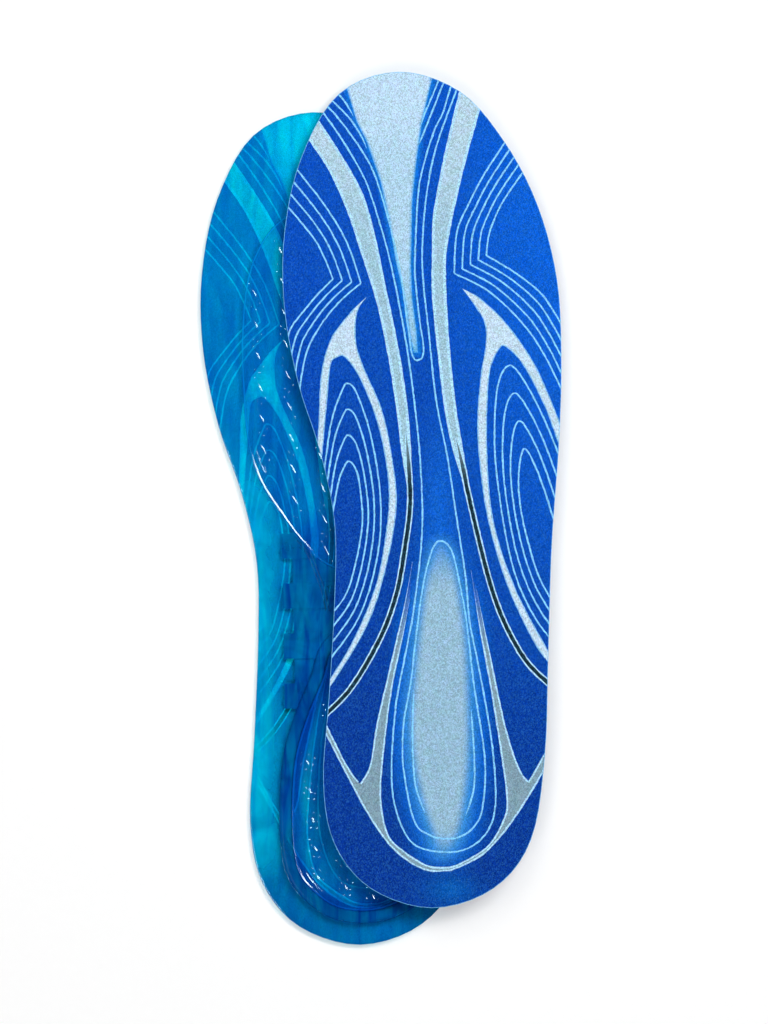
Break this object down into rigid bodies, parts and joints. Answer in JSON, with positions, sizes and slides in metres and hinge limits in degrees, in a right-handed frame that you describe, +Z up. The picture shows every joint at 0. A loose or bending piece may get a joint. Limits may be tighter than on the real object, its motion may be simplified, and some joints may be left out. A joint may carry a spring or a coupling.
{
  "type": "cushioned insole",
  "caption": "Full-length gel insoles as a loose pair: one lies gel side up, and the other lies over it with its printed knit cover up.",
  "frame": {"origin": "centre of the pair's outline, on the surface that the lower insole's cover rests on", "axes": "+Y towards the toes, +X towards the little toe of the upper, right insole, +Z up"},
  "size_m": [0.1298, 0.314, 0.0153],
  "materials": {
    "printed_cover": "matt polyester knit, sublimation printed in royal blue, pale blue, silver grey and white",
    "clear_film": "clear smooth polyurethane film",
    "soft_gel": "clear turquoise gel, glossy and slightly tacky",
    "firm_gel": "clear deeper blue gel, firmer, glossy",
    "cushion_gel": "clear blue gel with moulded cells, glossy"
  },
  "bodies": {
    "left_insole": {"left_top_cover": "printed_cover", "left_barrier_film": "clear_film", "left_gel_body": "soft_gel", "left_support_frame": "firm_gel", "left_forefoot_cushion": "cushion_gel", "left_heel_cushion": "cushion_gel"},
    "right_insole": {"right_top_cover": "printed_cover", "right_barrier_film": "clear_film", "right_gel_body": "soft_gel", "right_support_frame": "firm_gel", "right_forefoot_cushion": "cushion_gel", "right_heel_cushion": "cushion_gel"}
  },
  "joints": [
    {"name": "right_insole_lift", "type": "slide", "parent": "left_insole", "child": "right_insole", "axis": [0, 0, 1], "range_m": [0, 0.06]}
  ]
}
